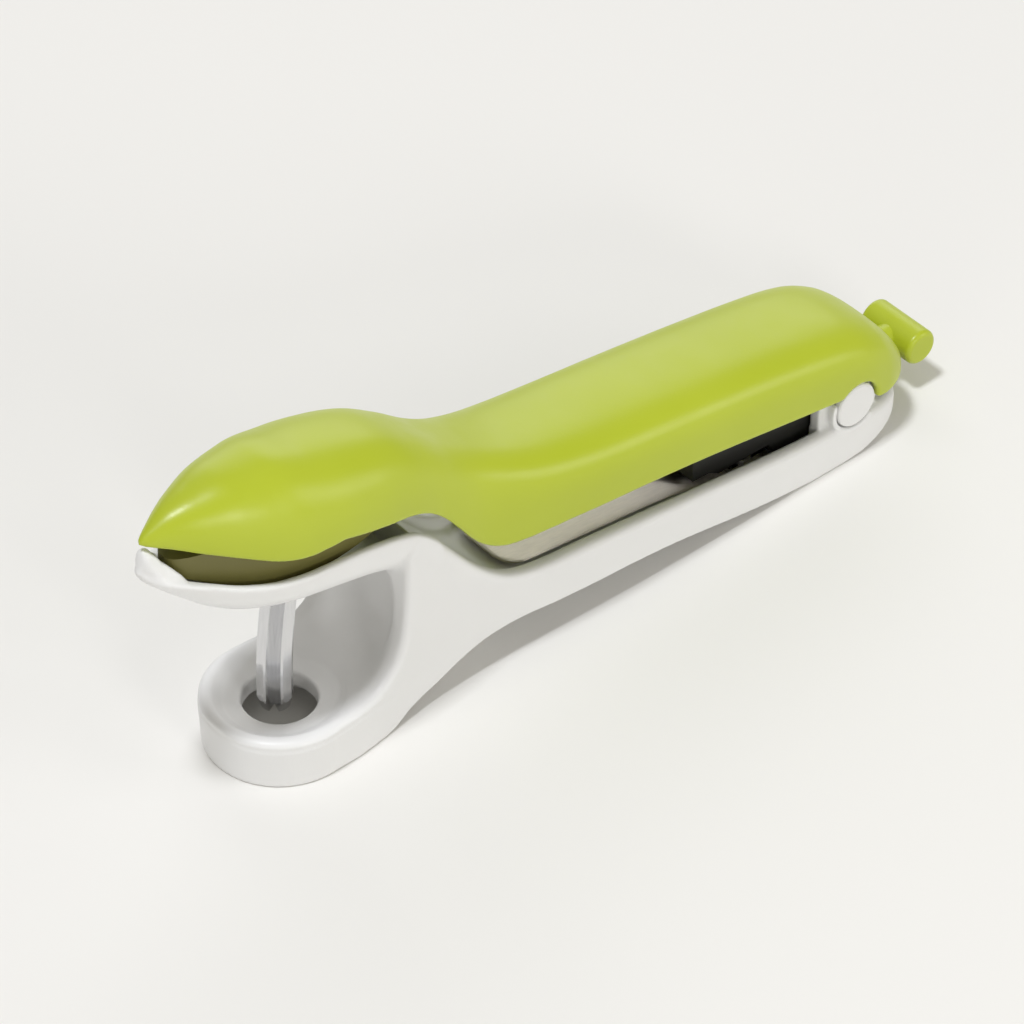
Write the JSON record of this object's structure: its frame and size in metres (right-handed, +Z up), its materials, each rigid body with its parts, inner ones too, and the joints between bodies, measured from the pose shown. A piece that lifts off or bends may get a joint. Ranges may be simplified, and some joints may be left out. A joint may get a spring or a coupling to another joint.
{
  "type": "olive pitter",
  "caption": "Lever olive pitter: a hinged upper handle drives a fluted punch through a beak guide onto a cupped seat with a stone hole; a pull bar locks it shut.",
  "frame": {"origin": "centre of the overall bounding box in plan, on the plane the pitter rests on", "axes": "+X along the handles from the beak to the pull bar, +Y across to the far side, +Z up"},
  "size_m": [0.1992, 0.0316, 0.0746],
  "materials": {
    "white_plastic": "satin",
    "green_plastic": "satin",
    "olive_plastic": "moulded",
    "white_button": "satin",
    "dark_plastic": "matt",
    "punch_steel": "polished",
    "pin_steel": "ground",
    "screw_steel": "plated",
    "spring_steel": "bright strip"
  },
  "bodies": {
    "lower": {"lower_handle": "white_plastic", "pivot_pin": "pin_steel", "pivot_cap_near": "white_button", "pivot_cap_far": "white_button", "leaf_spring": "spring_steel", "spring_clamp": "spring_steel", "spring_screws": "screw_steel"},
    "lever": {"upper_handle": "green_plastic", "lever_core": "dark_plastic", "core_screws": "screw_steel", "punch": "punch_steel", "punch_mount": "olive_plastic", "mount_screws": "screw_steel", "punch_pin": "pin_steel", "detent_leaf": "spring_steel"},
    "latch": {"pull_bar": "green_plastic", "lock_tongue": "spring_steel", "tongue_pin": "pin_steel"}
  },
  "joints": [
    {"name": "lever_hinge", "type": "hinge", "parent": "lower", "child": "lever", "pos_m": [0.07105, 0, 0.0138], "axis": [0, 1, 0], "range_deg": [0, 10], "deforming": ["leaf_spring"]},
    {"name": "lock_slide", "type": "slide", "parent": "lever", "child": "latch", "axis": [1, 0, 0], "range_m": [-0.0035, 0]}
  ]
}
